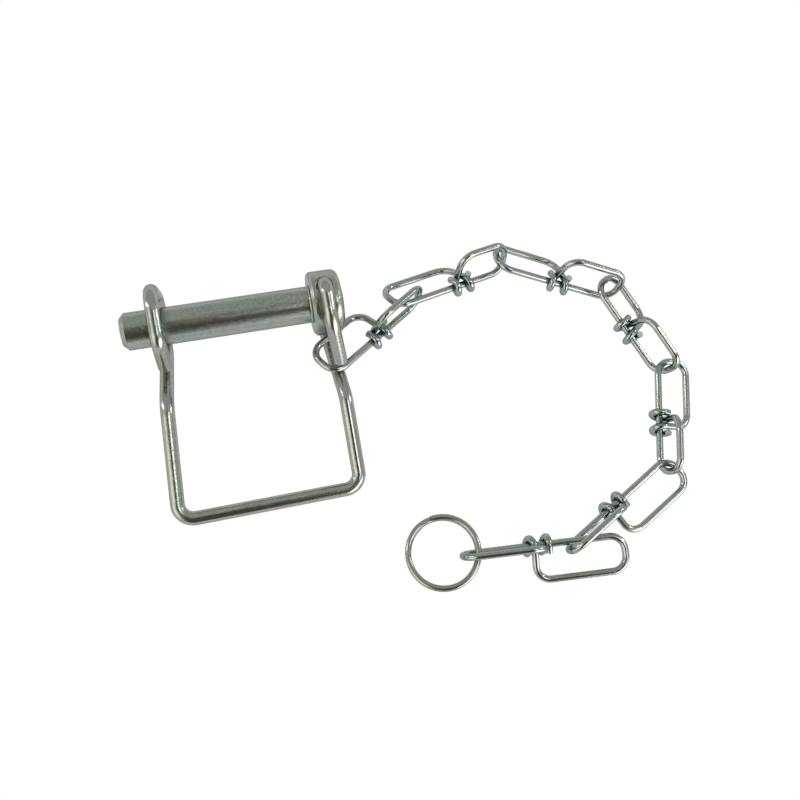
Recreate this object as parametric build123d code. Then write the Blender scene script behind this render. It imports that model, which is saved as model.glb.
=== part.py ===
"""Wire lock pin: a headed steel pin, a sprung square wire bail, seven knotted chain links and a split ring.

It is built as it lies on a table, in millimetres, with +Z up. The origin is the centre of the pin's
shoulder face. +X runs along the pin into the head, and the bail lies towards -Y.
"""

import os
from math import acos, asin, atan2, cos, degrees, radians, sin, tan

from build123d import *

# ---- pin ----
shank_diameter = 9.5
shank_length = 47.4
tip_chamfer = 1.2
head_diameter = 16.6
head_length = 8.6
head_shoulder_chamfer = 0.7
head_crown_rise = 1.0
head_crown_radius = 1.9
under_head_radius = 0.5

# ---- bail, one spring wire ----
bail_wire = 3.6
hole_clearance = 0.4
hole_from_shoulder = 3.7
hole_off_centre = 3.6
bail_depth = 49.0
bail_corner_radius = 4.0
head_eye_gap = 0.35
tip_eye_gap = 1.0
bail_left_at_eye = -38.45
bail_left_at_corner = -41.7
bail_right_at_corner = 5.1
tip_eye_reach = 8.8
tip_eye_radius = 5.6
head_eye_bend = 2.7
eye_knee = 5.7
eye_knee_radius = 8.3
tip_eye_knee = 4.7
tip_eye_end = 9.8
tip_eye_root = 19.7
head_eye_end = 15.8
head_eye_aside = 0.7
head_eye_root = 24.8
tip_eye_mouth = 0.05
head_eye_mouth = 2.6

# ---- chain, each link one wire with two loops tied in the middle ----
link_wire = 1.85
loop_width = 9.2
loop_crown_radius = 3.9
loop_shoulder_radius = 3.9
loop_twist = 92.0
knot_wrap_angle = 300.0
knot_end_length = 1.6
knot_aside_angle = 235.0
knot_gap = 0.06

# each link as it lies, from the bail to the ring: how far its two loops reach from the knot,
# its heading seen from above, how much it slopes down along its heading, and its roll
first_reaches = [18.6, 22.3, 20.1, 16.1, 18.5, 21.4, 24.2]
second_reaches = [15.9, 15.0, 18.3, 16.1, 14.5, 18.1, 21.0]
link_headings = [34.0, 15.0, -18.5, -63.5, -102.0, -150.5, -184.9]
link_slopes = [11.5, 14.0, 14.5, 10.0, 6.5, 9.0, 6.3]
link_rolls = [35.0, 12.5, 17.5, 25.5, 35.5, 41.5, 36.1]

# seen from above: the middle of the first link's first crown, and then how far the middle of each
# next crown stands from the middle of the crown that it hooks into
first_crown = (0.70, -14.83)
crown_steps = [
    (-8.32, -0.28),
    (-2.50, 0.02),
    (-3.92, 2.30),
    (1.68, 2.10),
    (2.92, 0.03),
    (14.79, -3.37),
]

# how high the sharp corners of each link's loops would stay above the table
link_lifts = [1.8, -0.72, -0.73, 0.03, 1.51, -0.35, 0.03]

# ---- split ring, two turns of wire ----
ring_diameter = 19.8
ring_wire = 1.6
ring_coil_gap = 0.05
ring_lap = 330.0
ring_step_angle = 40.0
ring_start_angle = 118.0
ring_heading = -22.0
ring_above_wire = 0.9
ring_from_crown = (-4.2, 1.9)


def bent_wire(corners, radii):
    """Edges of a centre line through the corners, with each inner corner rounded by its radius."""
    edges = []
    start = corners[0]
    for before, corner, after, radius in zip(corners, corners[1:], corners[2:], radii):
        back = (before - corner).normalized()
        onward = (after - corner).normalized()
        half_angle = acos(back.dot(onward)) / 2
        trim = radius / tan(half_angle)
        bisector = (back + onward).normalized()
        bend_start = corner + back * trim
        bend_middle = corner + bisector * (radius / sin(half_angle) - radius)
        bend_end = corner + onward * trim
        edges.append(Edge.make_line(start, bend_start))
        edges.append(Edge.make_three_point_arc(bend_start, bend_middle, bend_end))
        start = bend_end
    edges.append(Edge.make_line(start, corners[-1]))
    return edges


def round_rod(edges, diameter):
    """A round wire of one diameter that follows the joined edges."""
    line = Wire(edges)
    section = Plane(origin=line @ 0, z_dir=line % 0) * Circle(diameter / 2)
    return sweep(section, path=line)


# ---- the bail's plane: it leans from the pin down to its bottom rod ----
def eye_half_height():
    """From the bail's plane to the middle of the wire that passes over or under the head."""
    return head_diameter / 2 + head_eye_gap + bail_wire / 2


def bail_lean():
    """The bail's slope: its bottom rod and the low side of both eyes rest on the table."""
    return atan2(eye_half_height(), bail_depth - eye_knee)


def axis_height():
    """How high the pin's axis lies above the table."""
    return bail_depth * sin(bail_lean()) + bail_wire / 2


def in_bail(along_pin, outward, above):
    """A point given along the pin, up the bail's plane from the pin's axis, and above that plane."""
    lean = bail_lean()
    across = outward * cos(lean) - above * sin(lean)
    height = outward * sin(lean) + above * cos(lean)
    return Vector(along_pin, across, height)


# ---- pin ----
def pin():
    """Turned shank, upset head with a rounded end face, and an off-centre hole across the head."""
    shank_r = shank_diameter / 2
    head_r = head_diameter / 2
    dome_radius = (head_r**2 + head_crown_rise**2) / (2 * head_crown_rise)
    dome_centre = head_length - dome_radius
    half_angle = asin(head_r / dome_radius) / 2
    with BuildPart() as body:
        with BuildSketch(Plane.XZ) as half_profile:
            with BuildLine():
                Polyline(
                    (head_length, 0),
                    (-shank_length, 0),
                    (-shank_length, shank_r - tip_chamfer),
                    (-shank_length + tip_chamfer, shank_r),
                    (0, shank_r),
                    (0, head_r - head_shoulder_chamfer),
                    (head_shoulder_chamfer, head_r),
                    (head_length - head_crown_rise, head_r),
                )
                ThreePointArc(
                    (head_length - head_crown_rise, head_r),
                    (dome_centre + dome_radius * cos(half_angle), dome_radius * sin(half_angle)),
                    (head_length, 0),
                )
            make_face()
            rim = half_profile.vertices().sort_by(Axis.Y)[-2:].sort_by(Axis.X)[-1]
            fillet(rim, head_crown_radius)
            neck = half_profile.vertices().filter_by(lambda corner: abs(corner.X) < 0.01).sort_by(Axis.Y)[0]
            fillet(neck, under_head_radius)
        revolve(axis=Axis.X)
    hole_middle = in_bail(hole_from_shoulder, hole_off_centre, 0)
    hole_line = in_bail(0, 0, 1)
    hole_r = bail_wire / 2 + hole_clearance
    drill = Plane(origin=hole_middle, z_dir=hole_line) * Cylinder(hole_r, head_diameter * 1.5)
    return body.part - drill


# ---- bail ----
def low_side(at_eye, at_root, root, outward):
    """Where the lower side of an eye runs, at one distance up the bail's plane."""
    share = (outward + root) / (root - eye_knee)
    return in_bail(at_root + (at_eye - at_root) * share, outward, -eye_half_height() * share)


def eye_end(at_eye, at_root, root, end, mouth):
    """The cut end of an eye's upper side, a mouth's width above the wire that it came from."""
    slope = atan2(eye_half_height(), root - eye_knee)
    rise = (bail_wire + mouth) / cos(slope)
    return low_side(at_eye, at_root, root, -end) + in_bail(0, 0, 1) * rise


def bail():
    """One spring wire: an eye round the shank, two legs and a bottom rod, and an eye through the head."""
    low = -eye_half_height()
    tip_top = shank_diameter / 2 + tip_eye_gap + bail_wire / 2
    left = bail_left_at_eye
    right = hole_from_shoulder
    left_root = bail_left_at_eye + (bail_left_at_corner - bail_left_at_eye) * tip_eye_root / bail_depth
    right_root = bail_right_at_corner
    head_end = eye_end(right, right_root, head_eye_root, head_eye_end, head_eye_mouth)
    corners = [
        eye_end(left, left_root, tip_eye_root, tip_eye_end, tip_eye_mouth),
        in_bail(left, -tip_eye_knee, tip_top),
        in_bail(left, tip_eye_reach, tip_top),
        in_bail(left, tip_eye_reach, low),
        in_bail(left, -eye_knee, low),
        in_bail(left_root, -tip_eye_root, 0),
        in_bail(bail_left_at_corner, -bail_depth, 0),
        in_bail(bail_right_at_corner, -bail_depth, 0),
        in_bail(right_root, -head_eye_root, 0),
        in_bail(right, -eye_knee, low),
        in_bail(right, hole_off_centre, low),
        in_bail(right, hole_off_centre, -low),
        in_bail(right, -eye_knee, -low),
        head_end + Vector(head_eye_aside, 0, 0),
    ]
    radii = [
        eye_knee_radius / 2,
        tip_eye_radius,
        tip_eye_radius,
        eye_knee_radius,
        eye_knee_radius,
        bail_corner_radius,
        bail_corner_radius,
        eye_knee_radius,
        eye_knee_radius,
        head_eye_bend,
        head_eye_bend,
        eye_knee_radius,
    ]
    return round_rod(bent_wire(corners, radii), bail_wire)


# ---- chain ----
def round_the_link(along, radius, angle):
    """A point beside a link's straight middle wire: 0 degrees is the first loop's side."""
    turn = radians(angle - loop_twist / 2)
    return Vector(along, radius * cos(turn), radius * sin(turn))


def tie(side, start_angle):
    """Points along a wire end tied round the middle wire; it moves aside to pass beside its lead."""
    radius = link_wire + knot_gap
    stations = 24
    points = []
    for station in range(stations + 1):
        angle = knot_wrap_angle * station / stations
        share = min(angle / knot_aside_angle, 1)
        aside = radius * (share * share * (3 - 2 * share))
        points.append(round_the_link(side * (radius / 2 + aside), radius, start_angle + side * angle))
    return points


def chain_link(first_reach, second_reach):
    """One wire: each end comes back from its loop, crosses the knot and ties round the middle wire."""
    wrap_radius = link_wire + knot_gap
    knot_half = (link_wire + knot_gap) / 2
    lead_angle = degrees(acos(wrap_radius / loop_width))
    first_end = -(first_reach - link_wire / 2)
    second_end = second_reach - link_wire / 2
    first_tie = lead_angle
    second_tie = loop_twist - lead_angle
    corners = [
        round_the_link(knot_half, wrap_radius, first_tie),
        round_the_link(knot_half, loop_width, 0),
        round_the_link(first_end, loop_width, 0),
        Vector(first_end, 0, 0),
        Vector(second_end, 0, 0),
        round_the_link(second_end, loop_width, loop_twist),
        round_the_link(-knot_half, loop_width, loop_twist),
        round_the_link(-knot_half, wrap_radius, second_tie),
    ]
    radii = [
        loop_shoulder_radius,
        loop_crown_radius,
        loop_crown_radius,
        loop_crown_radius,
        loop_crown_radius,
        loop_shoulder_radius,
    ]
    first_turn = Edge.make_spline(tie(1, first_tie)[::-1])
    second_turn = Edge.make_spline(tie(-1, second_tie))
    first_cut = first_turn @ 0 - (first_turn % 0) * knot_end_length
    second_cut = second_turn @ 1 + (second_turn % 1) * knot_end_length
    edges = [Edge.make_line(first_cut, first_turn @ 0), first_turn]
    edges += bent_wire(corners, radii)
    edges += [second_turn, Edge.make_line(second_turn @ 1, second_cut)]
    return round_rod(edges, link_wire)


def first_crown_middle(first_reach):
    """Middle of the first loop's crown, in the link's own frame."""
    return round_the_link(0, loop_width / 2, 0) - Vector(first_reach - link_wire / 2, 0, 0)


def second_crown_middle(second_reach):
    """Middle of the second loop's crown, in the link's own frame."""
    return round_the_link(0, loop_width / 2, loop_twist) + Vector(second_reach - link_wire / 2, 0, 0)


def turned(heading, slope, roll):
    """A link's direction: rolled about its wire, sloped down, then headed round from +X."""
    return Rot(Z=heading) * Rot(Y=slope) * Rot(X=roll)


def moved_point(place, point):
    """Where a point of a link lands when the link is put in its place."""
    return (place * Pos(point)).position


def lowest_corner(turn, first_reach, second_reach):
    """How far the lowest corner of a turned link's loops is below its knot."""
    first_end = -(first_reach - link_wire / 2)
    second_end = second_reach - link_wire / 2
    knot_half = (link_wire + knot_gap) / 2
    corners = [
        round_the_link(knot_half, loop_width, 0),
        round_the_link(first_end, loop_width, 0),
        Vector(first_end, 0, 0),
        Vector(second_end, 0, 0),
        round_the_link(second_end, loop_width, loop_twist),
        round_the_link(-knot_half, loop_width, loop_twist),
    ]
    return min(moved_point(turn, corner).Z for corner in corners)


def link_places():
    """Where each link lies: hooked inside the crown before it, and as high above the table as stated."""
    places = []
    crown = Vector(*first_crown)
    for index, heading in enumerate(link_headings):
        first_reach = first_reaches[index]
        second_reach = second_reaches[index]
        turn = turned(heading, link_slopes[index], link_rolls[index])
        if index:
            crown = crown + Vector(*crown_steps[index - 1])
        knot = crown - moved_point(turn, first_crown_middle(first_reach))
        low = lowest_corner(turn, first_reach, second_reach)
        height = link_lifts[index] + link_wire / 2 - low - axis_height()
        place = Pos(knot.X, knot.Y, height) * turn
        places.append(place)
        crown = moved_point(place, second_crown_middle(second_reach))
    return places


# ---- split ring ----
def split_ring():
    """Two turns of round wire, pressed flat on each other, with a step from one turn to the other."""
    radius = (ring_diameter - ring_wire) / 2
    rise = ring_wire + ring_coil_gap
    points = []
    stations = 60
    for station in range(stations + 1):
        angle = 2 * ring_lap * station / stations + ring_step_angle * (station / stations)
        past_step = (angle - ring_lap) / ring_step_angle
        share = min(max(past_step, 0), 1)
        height = rise * (share * share * (3 - 2 * share))
        turn = radians(ring_start_angle + angle)
        points.append(Vector(radius * cos(turn), radius * sin(turn), ring_wire / 2 + height))
    line = Edge.make_spline(points)
    return round_rod([line], ring_wire)


def ring_place():
    """The ring hangs in the last link's second loop: one side is over its wire and one on the table."""
    crown = moved_point(link_places()[-1], second_crown_middle(second_reaches[-1]))
    radius = (ring_diameter - ring_wire) / 2
    tilt = degrees(asin((link_wire + ring_above_wire) / (2 * radius)))
    height = radius * sin(radians(tilt)) + ring_wire / 2 * (1 - cos(radians(tilt))) - axis_height()
    middle = Pos(crown.X + ring_from_crown[0], crown.Y + ring_from_crown[1], height)
    return middle * Rot(Z=ring_heading) * Rot(Y=-tilt) * Rot(Z=-ring_heading)


def save(solid, name):
    """Writes one piece as parts/NAME.step."""
    export_step(solid, os.path.join("parts", name + ".step"))


os.makedirs("parts", exist_ok=True)
save(pin(), "lock_pin")
save(bail(), "bail_wire")
for number, place in enumerate(link_places(), start=1):
    piece = place * chain_link(first_reaches[number - 1], second_reaches[number - 1])
    save(piece, f"chain_link_{number}")
save(ring_place() * split_ring(), "split_ring")
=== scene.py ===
# %% [markdown]
# # A wire lock pin in bright zinc plate
# This lesson dresses a finished model of a small steel lock pin: a headed pin, a sprung square wire
# bail, seven knotted chain links and a split ring. The shapes come ready made from the model. What is
# left to learn here is the camera, the light and the metal finishes, which are all made of nodes.
# Everything is in metres, and the pin lies along X with its shoulder at the origin.

import math

import bpy
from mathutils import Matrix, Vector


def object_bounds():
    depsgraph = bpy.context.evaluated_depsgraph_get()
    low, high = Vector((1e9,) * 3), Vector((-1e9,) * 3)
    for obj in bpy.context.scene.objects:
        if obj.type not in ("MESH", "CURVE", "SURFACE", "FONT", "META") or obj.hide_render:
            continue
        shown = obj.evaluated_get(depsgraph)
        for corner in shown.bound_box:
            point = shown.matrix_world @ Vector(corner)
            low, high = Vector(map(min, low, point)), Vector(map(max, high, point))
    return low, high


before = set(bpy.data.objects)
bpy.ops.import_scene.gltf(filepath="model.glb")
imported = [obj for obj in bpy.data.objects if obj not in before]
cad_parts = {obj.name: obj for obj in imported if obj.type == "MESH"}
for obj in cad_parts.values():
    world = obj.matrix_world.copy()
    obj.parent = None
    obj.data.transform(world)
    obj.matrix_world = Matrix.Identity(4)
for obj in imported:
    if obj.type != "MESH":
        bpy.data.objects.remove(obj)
model_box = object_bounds()
bpy.ops.object.select_all(action="DESELECT")
print("pieces:", sorted(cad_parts))

# %% [markdown]
# ## The camera
# The pin is looked at from above and a little in front, as someone would look at it on a bench. The
# camera is held close, so the near bail looks larger than the far chain.

# %% Camera
camera_place = (-0.0180, -0.07225, 0.19680)
camera_turn = (14.036, -7.598, -11.920)
lens_and_film = 36
nearest_seen = 0.01

angles = [math.radians(angle) for angle in camera_turn]
bpy.ops.object.camera_add(location=camera_place, rotation=angles)
camera = bpy.context.object
camera.data.lens = lens_and_film
camera.data.sensor_width = lens_and_film
camera.data.clip_start = nearest_seen
bpy.context.scene.camera = camera
bpy.context.scene.view_settings.view_transform = "Standard"
print("camera at", tuple(round(value, 3) for value in camera.location))

# %% [markdown]
# ## A small kit for nodes
# A finish is a web of nodes, and a long web is hard to read when every node and link is its own
# line. So a socket is wrapped in a small class that answers to plus, minus and times, and each sign
# adds one Math node. Every other kind of node comes from one method, `node`, that takes the node's
# type, its settings and what goes into its sockets.


# %% Node kit
class Number:
    """A number that varies over a surface, which ordinary arithmetic works on."""

    def __init__(self, web, socket):
        self.web = web
        self.socket = socket

    def math(self, operation, first, second=0.0):
        return self.web.node("ShaderNodeMath", {"operation": operation}, {0: first, 1: second}).value()

    def __add__(self, other):
        return self.math("ADD", self, other)

    def __radd__(self, other):
        return self.math("ADD", other, self)

    def __sub__(self, other):
        return self.math("SUBTRACT", self, other)

    def __rsub__(self, other):
        return self.math("SUBTRACT", other, self)

    def __mul__(self, other):
        return self.math("MULTIPLY", self, other)

    def __rmul__(self, other):
        return self.math("MULTIPLY", other, self)


class Made:
    """One node, with short ways to reach its outputs."""

    def __init__(self, web, made):
        self.web = web
        self.made = made

    def out(self, name=0):
        return self.made.outputs[name]

    def value(self, name=0):
        return Number(self.web, self.made.outputs[name])


class Web:
    """The node tree of a material or of the world."""

    def __init__(self, tree):
        self.tree = tree
        tree.nodes.clear()

    def node(self, kind, settings=None, sockets=None):
        made = self.tree.nodes.new(kind)
        for name, setting in (settings or {}).items():
            setattr(made, name, setting)
        for name, given in (sockets or {}).items():
            if isinstance(given, Number):
                given = given.socket
            if isinstance(given, bpy.types.NodeSocket):
                self.tree.links.new(given, made.inputs[name])
            else:
                made.inputs[name].default_value = given
        return Made(self, made)

    def mixed(self, share, first, second):
        """One colour blended into another by a share from 0 to 1."""
        sockets = {0: share, 6: first, 7: second}
        return self.node("ShaderNodeMix", {"data_type": "RGBA"}, sockets).out(2)

    def noise(self, where, scale, detail=2.0, rough=0.5):
        """Cloudy noise, from 0 to 1, with about `scale` blotches a metre."""
        sockets = {"Vector": where, "Scale": scale, "Detail": detail, "Roughness": rough}
        return self.node("ShaderNodeTexNoise", None, sockets).value("Fac")

    def ramp(self, share, low, high, bottom=0.0, top=1.0):
        """Goes from bottom to top, smoothly, as the share goes from low to high."""
        settings = {"interpolation_type": "SMOOTHSTEP"}
        sockets = {0: share, 1: low, 2: high, 3: bottom, 4: top}
        return self.node("ShaderNodeMapRange", settings, sockets).value()


print("node kit ready")

# %% [markdown]
# ## The bench
# Bright plating has hardly a colour of its own: it shows what is around it. So the room matters as
# much as the metal. The bench is white where the metal mirrors it, and part of its light is plain
# paint that takes light from the room, so it is darker close under the pin. Looked at straight it
# is clear, and the white room shows through it: a chain that swings below the bench is still seen.

# %% Bench
bench_height = model_box[0][2]
bench_width = 4.0
bench_paint = (0.36, 0.36, 0.36, 1)
bench_glow = 0.76
white = (1, 1, 1, 1)

bpy.ops.mesh.primitive_plane_add(size=bench_width, location=(0, 0, bench_height))
bench = bpy.context.object
bench.name = "bench"
bench_finish = bpy.data.materials.new("white_bench")
bench_finish.use_nodes = True
web = Web(bench_finish.node_tree)
ray = web.node("ShaderNodeLightPath")
mirrored = ray.value("Is Glossy Ray") + ray.value("Is Transmission Ray")
paint = web.node("ShaderNodeBsdfDiffuse", None, {"Color": bench_paint})
glow = web.node("ShaderNodeEmission", None, {"Color": white, "Strength": mirrored * bench_glow})
bench_top = web.node("ShaderNodeAddShader", None, {0: paint.out(), 1: glow.out()})
clear = web.node("ShaderNodeBsdfTransparent")
straight = ray.value("Is Camera Ray")
surface = web.node("ShaderNodeMixShader", None, {0: straight, 1: bench_top.out(), 2: clear.out()})
web.node("ShaderNodeOutputMaterial", None, {"Surface": surface.out()})
bench.data.materials.append(bench_finish)
print("bench at height", round(bench_height, 4))

# %% [markdown]
# ## The room
# A mirror-like rod shows the whole room as streaks along it, so the room is drawn as soft patches on
# the world around the bench: two bright windows on the right, a warm pale wall on the left, and two
# dark patches in front, where the person at the bench stands. Each patch is a direction, a size
# where it is full and a size where it has faded out, all in degrees, and a light. Elsewhere the room
# is pale low down and a little darker above. Looked at straight the room is plain white, so nothing
# shows behind the pin.


# %% Room
def towards(azimuth, elevation):
    """The direction that a compass angle and a height above the bench point in."""
    turn = math.radians(azimuth)
    up = math.radians(elevation)
    return (math.cos(up) * math.cos(turn), math.cos(up) * math.sin(turn), math.sin(up))


def patch(web, around, azimuth, elevation, full, faded):
    """A soft round patch of the room: 1 in its middle and 0 outside it."""
    sockets = {0: around, 1: towards(azimuth, elevation)}
    nearness = web.node("ShaderNodeVectorMath", {"operation": "DOT_PRODUCT"}, sockets).value("Value")
    return web.ramp(nearness, math.cos(math.radians(faded)), math.cos(math.radians(full)))


room = bpy.data.worlds.new("studio")
bpy.context.scene.world = room
room.use_nodes = True
web = Web(room.node_tree)
around = web.node("ShaderNodeTexCoord").out("Generated")
height = web.node("ShaderNodeSeparateXYZ", None, {0: around}).value("Z")
low_room = (0.76, 0.78, 0.77, 1)
high_room = (0.66, 0.69, 0.65, 1)
shade = web.mixed(web.ramp(height, 0.06, 0.30), low_room, high_room)
patches = [
    ("warm wall", 207, 30, 14, 35, (2.3, 2.2, 1.8, 1)),
    ("person's coat", 262, 36, 20, 33, (0.10, 0.094, 0.07, 1)),
    ("person's head", 265, 68, 19, 30, (0.13, 0.125, 0.10, 1)),
    ("window", 307, 13, 19, 29, (4.6, 4.6, 4.6, 1)),
    ("upper window", 328, 64, 6, 11, (6.0, 6.0, 6.0, 1)),
]
for name, azimuth, elevation, full, faded, light in patches:
    shade = web.mixed(patch(web, around, azimuth, elevation, full, faded), shade, light)
    print("room has a", name)
straight = web.node("ShaderNodeLightPath").value("Is Camera Ray")
shade = web.mixed(straight, shade, white)
sky = web.node("ShaderNodeBackground", None, {"Color": shade, "Strength": 1.0})
web.node("ShaderNodeOutputWorld", None, {"Surface": sky.out()})


# %% [markdown]
# ## The lamps
# Two small lamps, one on each side, add the hard little highlights that a window is too large for.
# Both face the same spot, in front of the pin's head.


# %% Lamps
def lamp(name, place, target, width, height, power):
    """A soft rectangular lamp that faces a point."""
    bpy.ops.object.light_add(type="AREA", location=place)
    made = bpy.context.object
    made.name = name
    made.data.shape = "RECTANGLE"
    made.data.size = width
    made.data.size_y = height
    made.data.energy = power
    aim = made.location.copy()
    for axis in range(3):
        aim[axis] = target[axis] - place[axis]
    made.rotation_euler = aim.to_track_quat("-Z", "Y").to_euler()
    return made


lit_spot = (0.02, -0.03, 0)
lamp("far_lamp", (0.50, 0.02, 0.24), lit_spot, width=0.04, height=0.12, power=0.4)
lamp("strip_lamp", (-0.50, 0.18, 0.25), lit_spot, width=0.045, height=0.44, power=0.55)

# %% [markdown]
# ## The zinc plate
# Every piece is steel wire or bar with bright zinc plate on it. Close to, the plate is a slightly
# green grey, with faint olive and teal clouds where the film from the bath is thicker, and it is
# speckled with lighter and darker grains about half a millimetre wide. The drawing die or the lathe
# also leaves marks. One class keeps the web of a plate, so that each kind of piece can add its own
# marks and tints before it is finished. A tone is a plain colour of red, green and blue.

# %% Plate
dark_grain = (0.17, 0.175, 0.155)
pale_grain = (0.50, 0.51, 0.46)


class Plate:
    """A zinc plate in the making: its place on the piece, its colour, its gloss and its relief."""

    def __init__(self, name, middle, turn):
        self.finish = bpy.data.materials.new(name)
        self.finish.use_nodes = True
        self.web = Web(self.finish.node_tree)
        spot = self.web.node("ShaderNodeTexCoord").out("Object")
        sockets = {"Vector": spot, "Location": middle, "Rotation": turn}
        self.spot = self.web.node("ShaderNodeMapping", {"vector_type": "TEXTURE"}, sockets).out()
        self.clouds = self.web.noise(self.spot, 150, 3.0)
        self.film = self.web.noise(self.spot, 430, 3.0, 0.6)
        self.grains = self.web.noise(self.spot, 2100, 4.0, 0.78)
        self.dust = self.web.noise(self.spot, 5200, 2.0, 0.6)

    def marks(self, scale, stretch):
        """Fine lines, drawn out by a different amount along each axis of the piece."""
        drawn = self.web.node("ShaderNodeMapping", None, {"Vector": self.spot, "Scale": stretch}).out()
        return self.web.noise(drawn, scale, 3.0, 0.6)

    def near(self, point, inside, outside):
        """1 around a point of the piece and 0 away from it."""
        sockets = {0: self.spot, 1: point}
        reach = self.web.node("ShaderNodeVectorMath", {"operation": "DISTANCE"}, sockets).value("Value")
        return self.web.ramp(reach, inside, outside, 1.0, 0.0)

    def tint(self, share, tone):
        """Blends a tone into the plate's colour by a share from 0 to 1."""
        self.zinc = self.web.mixed(share, self.zinc, (*tone, 1))

    def base(self, pale, teal, olive):
        """The plate's own colour, before anything has marked it."""
        self.zinc = self.web.mixed(self.web.ramp(self.clouds, 0.36, 0.64), (*pale, 1), (*teal, 1))
        self.tint(self.web.ramp(self.film, 0.50, 0.72, 0.0, 0.7), olive)
        self.tint(self.web.ramp(self.grains, 0.53, 0.66, 0.0, 0.50), dark_grain)
        self.tint(self.web.ramp(self.grains, 0.46, 0.33, 0.0, 0.50), pale_grain)

    def done(self, gloss, height, depth):
        """Joins the colour, gloss and relief into the finished metal."""
        sockets = {"Height": height, "Strength": 0.5, "Distance": depth}
        relief = self.web.node("ShaderNodeBump", None, sockets)
        sockets = {
            "Base Color": self.zinc,
            "Metallic": 1.0,
            "Roughness": gloss,
            "Specular Tint": (0.5, 0.5, 0.5, 1),
            "Normal": relief.out(),
        }
        metal = self.web.node("ShaderNodeBsdfPrincipled", None, sockets)
        self.web.node("ShaderNodeOutputMaterial", None, {"Surface": metal.out()})
        return self.finish


def dress(node, finish):
    """Gives a piece of the model its finish."""
    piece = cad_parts[node]
    if not piece.material_slots:
        piece.data.materials.append(finish)
    for slot in piece.material_slots:
        slot.material = finish
    print(node, "wears", finish.name)


print("plate ready")

# %% [markdown]
# ## The pin
# The pin was turned from bar and its head upset. The lathe left rings round the shank that hardly
# show under the plate. The shank has the deepest relief of grains, so it shows the room as soft bands
# with a glitter between the bright and the dark one.

# %% Pin
turned_dark = (0.20, 0.21, 0.19)
pin_relief = 0.00011

plate = Plate("pin_plate", (0, 0, 0), (0, 0, 0))
plate.base(pale=(0.31, 0.325, 0.295), teal=(0.285, 0.32, 0.31), olive=(0.275, 0.275, 0.22))
rings = plate.marks(2600, (1, 0.06, 0.06))
plate.tint(plate.web.ramp(rings, 0.52, 0.80, 0.0, 0.25), turned_dark)
gloss = 0.09 + 0.09 * plate.grains + 0.05 * plate.clouds
height = plate.grains + 0.25 * plate.dust + 0.10 * rings
dress("lock_pin", plate.done(gloss, height, pin_relief))

# %% [markdown]
# ## The bail
# Spring wire is drawn through a die, which leaves fine lines along it. They run along the legs over
# most of the bail and across, along the bottom rod, at the far end, so two sets of marks are joined
# where the wire turns the corner. The plane of the bail slopes down to the bench, and the plate is
# turned with it.

# %% Bail
bail_slope = math.radians(13.57)
rod_side = -0.0455
legs_side = -0.0435
drawn_dark = (0.20, 0.20, 0.175)
drawn_pale = (0.50, 0.505, 0.47)
bail_relief = 0.00006

plate = Plate("bail_plate", (0, 0, 0), (bail_slope, 0, 0))
plate.base(pale=(0.32, 0.325, 0.295), teal=(0.29, 0.32, 0.31), olive=(0.285, 0.28, 0.22))
across = plate.web.node("ShaderNodeSeparateXYZ", None, {0: plate.spot}).value("Y")
rod = plate.web.ramp(across, rod_side, legs_side, 1.0, 0.0)
lines = plate.marks(3400, (1, 0.07, 1)) * (1 - rod) + plate.marks(3400, (0.07, 1, 1)) * rod
plate.tint(plate.web.ramp(lines, 0.52, 0.78, 0.0, 0.35), drawn_dark)
plate.tint(plate.web.ramp(lines, 0.46, 0.28, 0.0, 0.35), drawn_pale)
gloss = 0.09 + 0.09 * plate.grains + 0.07 * lines
height = plate.grains + 0.25 * plate.dust + 0.3 * lines
dress("bail_wire", plate.done(gloss, height, bail_relief))
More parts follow.
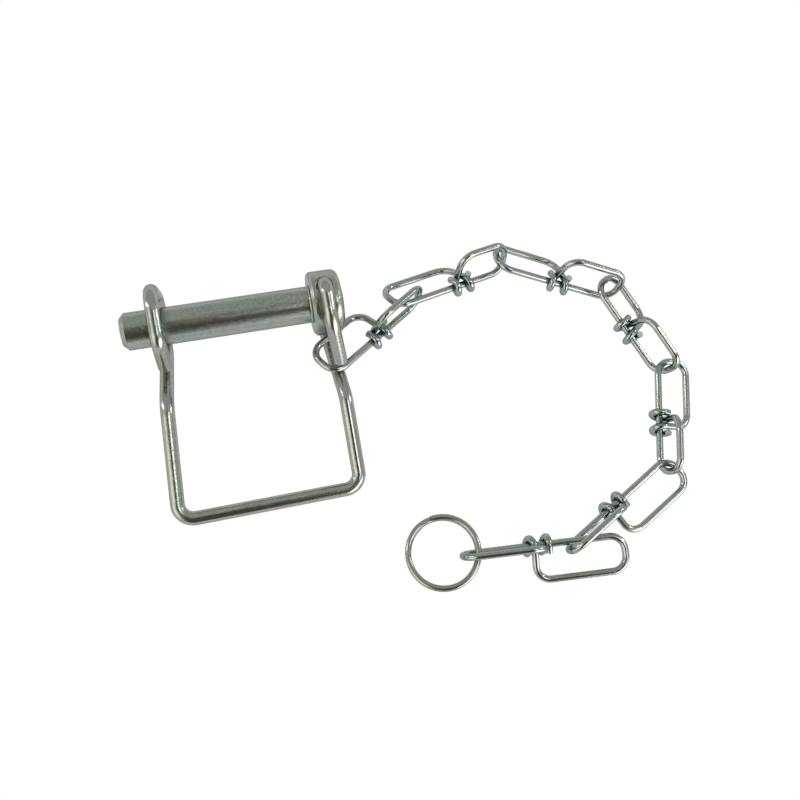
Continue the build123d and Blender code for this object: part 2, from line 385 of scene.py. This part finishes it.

# %% [markdown]
# ## The chain
# Every link is the same wire, so all seven get the same finish, moved to each link's knot and turned
# to lie along its middle wire. The knots' places are in millimetres, and each turn is the link's
# roll, slope and heading in degrees. Round the knot the colour is darkened to a teal grey: painted
# shade where the wires crowd, together with a teal film from the bath. The two ends were cut after
# plating; their faces are coloured lighter, bare cut steel with a painted highlight on it.

# %% Chain
link_knots = [
    (17.73, -8.79, -7.59),
    (43.54, 2.06, -7.93),
    (71.37, -1.72, -8.61),
    (87.97, -18.68, -9.00),
    (89.89, -46.22, -9.09),
    (70.65, -66.02, -10.03),
    (47.40, -71.77, -10.14),
]
link_turns = [
    (35.0, 11.5, 34.0),
    (12.5, 14.0, 15.0),
    (17.5, 14.5, -18.5),
    (25.5, 10.0, -63.5),
    (35.5, 6.5, -102.0),
    (41.5, 9.0, -150.5),
    (36.1, 6.3, -184.9),
]
chain_drawn_dark = (0.22, 0.23, 0.21)
# Painted shade round the knot, tinted with the teal film.
knot_shade_and_stain = (0.20, 0.26, 0.265)
knot_shade_full = 0.0020
knot_shade_gone = 0.0052
# Bare cut steel on the wire ends, made lighter as a painted highlight.
cut_steel_and_highlight = (0.55, 0.56, 0.54)
cut_highlight_full = 0.00085
cut_highlight_gone = 0.00095
chain_relief = 0.00004

for number, (knot, turn) in enumerate(zip(link_knots, link_turns), start=1):
    middle = [distance / 1000 for distance in knot]
    plate = Plate(f"link_{number}_plate", middle, [math.radians(angle) for angle in turn])
    plate.base(pale=(0.32, 0.335, 0.31), teal=(0.29, 0.325, 0.32), olive=(0.29, 0.29, 0.24))
    lines = plate.marks(3600, (0.07, 1, 1))
    plate.tint(plate.web.ramp(lines, 0.52, 0.78, 0.0, 0.35), chain_drawn_dark)
    # Painted shade: the plate is darkened to teal grey round the knot, where the wires crowd, on top of
    # a teal film tint.
    shade_and_stain = plate.near((0, 0, 0), knot_shade_full, knot_shade_gone) * (0.55 + 0.45 * plate.film)
    plate.tint(shade_and_stain, knot_shade_and_stain)
    # Painted highlight: the cut end faces are coloured lighter, as bare steel painted as if it shines.
    for side in (1, -1):
        end = (0.00286 * side, 0.00243, 0.00052 * side)
        plate.tint(plate.near(end, cut_highlight_full, cut_highlight_gone), cut_steel_and_highlight)
    gloss = 0.08 + 0.08 * plate.grains + 0.05 * lines
    height = plate.grains + 0.3 * lines
    dress(f"chain_link_{number}", plate.done(gloss, height, chain_relief))

# %% [markdown]
# ## The split ring
# The ring is coiled from finer wire, and it is the dullest piece, with an olive film on it.

# %% Split ring
ring_middle = (0.02277, -0.06876, -0.01191)
ring_relief = 0.00003

plate = Plate("ring_plate", ring_middle, (0, 0, 0))
plate.base(pale=(0.29, 0.295, 0.25), teal=(0.28, 0.30, 0.28), olive=(0.26, 0.255, 0.19))
gloss = 0.16 + 0.12 * plate.grains
height = plate.grains + 0.3 * plate.dust
dress("split_ring", plate.done(gloss, height, ring_relief))
